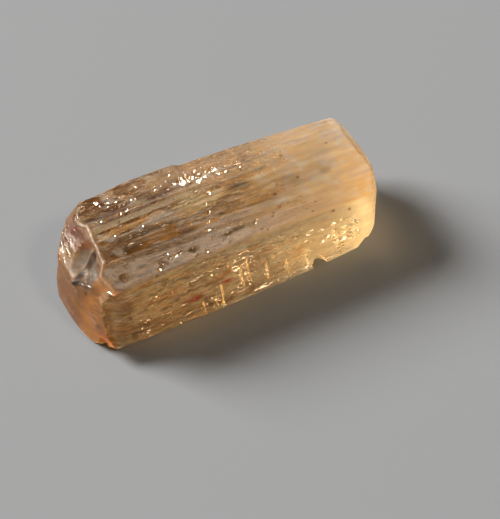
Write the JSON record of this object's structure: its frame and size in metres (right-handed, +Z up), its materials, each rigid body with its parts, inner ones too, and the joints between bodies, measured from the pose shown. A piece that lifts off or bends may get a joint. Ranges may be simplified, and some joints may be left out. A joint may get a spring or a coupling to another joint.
{
  "type": "topaz crystal",
  "caption": "Rough golden-orange topaz crystal: a see-through striated rhombic prism lying on a face, broken across its left end, worn at its right end, nicked in front.",
  "frame": {"origin": "middle of the bounding box, on the surface that the crystal rests on", "axes": "+X along the prism from the broken end to the worn end, -Y towards the steep front face with the nicked edge, +Z up from the resting face"},
  "size_m": [0.0242, 0.0111, 0.0063],
  "materials": {
    "topaz": "clear golden-orange crystal with striated faces, glossy to the left and frosted by wear to the right"
  },
  "bodies": {
    "root": {"topaz_crystal": "topaz"}
  },
  "joints": []
}
